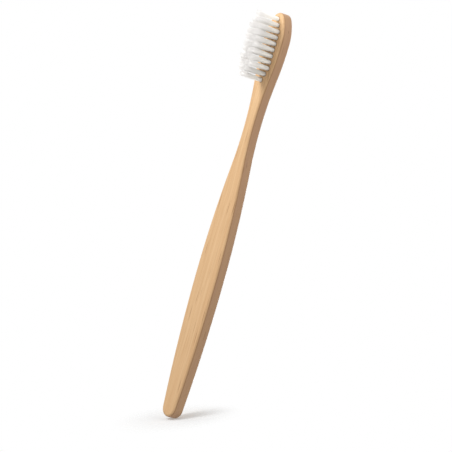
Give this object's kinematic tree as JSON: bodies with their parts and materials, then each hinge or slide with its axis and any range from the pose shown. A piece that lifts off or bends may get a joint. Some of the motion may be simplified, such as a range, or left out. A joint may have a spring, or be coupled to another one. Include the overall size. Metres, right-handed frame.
{
  "type": "manual toothbrush",
  "caption": "Flat bamboo toothbrush with a waisted neck and an oval head, its trimmed white nylon tufts each folded into a blind hole and held there by a flat metal anchor.",
  "frame": {"origin": "on the flat back of the handle, half way between the tail end and the head tip, on the middle line", "axes": "+X along the handle from the tail to the head, +Z out of the front face along the bristles, +Y to the left side"},
  "size_m": [0.19, 0.0148, 0.0188],
  "materials": {
    "bamboo": "sanded bamboo with a thin satin wax",
    "nylon": "off-white nylon filaments, slightly translucent",
    "anchor_wire": "bare flat drawn wire"
  },
  "bodies": {
    "root": {"handle": "bamboo", "tuft_row_01_middle": "nylon", "tuft_row_02_left": "nylon", "tuft_row_02_right": "nylon", "tuft_row_03_left": "nylon", "tuft_row_03_middle": "nylon", "tuft_row_03_right": "nylon", "tuft_row_04_left": "nylon", "tuft_row_04_middle": "nylon", "tuft_row_04_right": "nylon", "tuft_row_05_left": "nylon", "tuft_row_05_middle": "nylon", "tuft_row_05_right": "nylon", "tuft_row_06_left": "nylon", "tuft_row_06_middle": "nylon", "tuft_row_06_right": "nylon", "tuft_row_07_left": "nylon", "tuft_row_07_middle": "nylon", "tuft_row_07_right": "nylon", "tuft_row_08_left": "nylon", "tuft_row_08_middle": "nylon", "tuft_row_08_right": "nylon", "tuft_row_09_left": "nylon", "tuft_row_09_middle": "nylon", "tuft_row_09_right": "nylon", "tuft_row_10_left": "nylon", "tuft_row_10_right": "nylon", "tuft_row_11_middle": "nylon", "anchor_row_01_middle": "anchor_wire", "anchor_row_02_left": "anchor_wire", "anchor_row_02_right": "anchor_wire", "anchor_row_03_left": "anchor_wire", "anchor_row_03_middle": "anchor_wire", "anchor_row_03_right": "anchor_wire", "anchor_row_04_left": "anchor_wire", "anchor_row_04_middle": "anchor_wire", "anchor_row_04_right": "anchor_wire", "anchor_row_05_left": "anchor_wire", "anchor_row_05_middle": "anchor_wire", "anchor_row_05_right": "anchor_wire", "anchor_row_06_left": "anchor_wire", "anchor_row_06_middle": "anchor_wire", "anchor_row_06_right": "anchor_wire", "anchor_row_07_left": "anchor_wire", "anchor_row_07_middle": "anchor_wire", "anchor_row_07_right": "anchor_wire", "anchor_row_08_left": "anchor_wire", "anchor_row_08_middle": "anchor_wire", "anchor_row_08_right": "anchor_wire", "anchor_row_09_left": "anchor_wire", "anchor_row_09_middle": "anchor_wire", "anchor_row_09_right": "anchor_wire", "anchor_row_10_left": "anchor_wire", "anchor_row_10_right": "anchor_wire", "anchor_row_11_middle": "anchor_wire"}
  },
  "joints": []
}
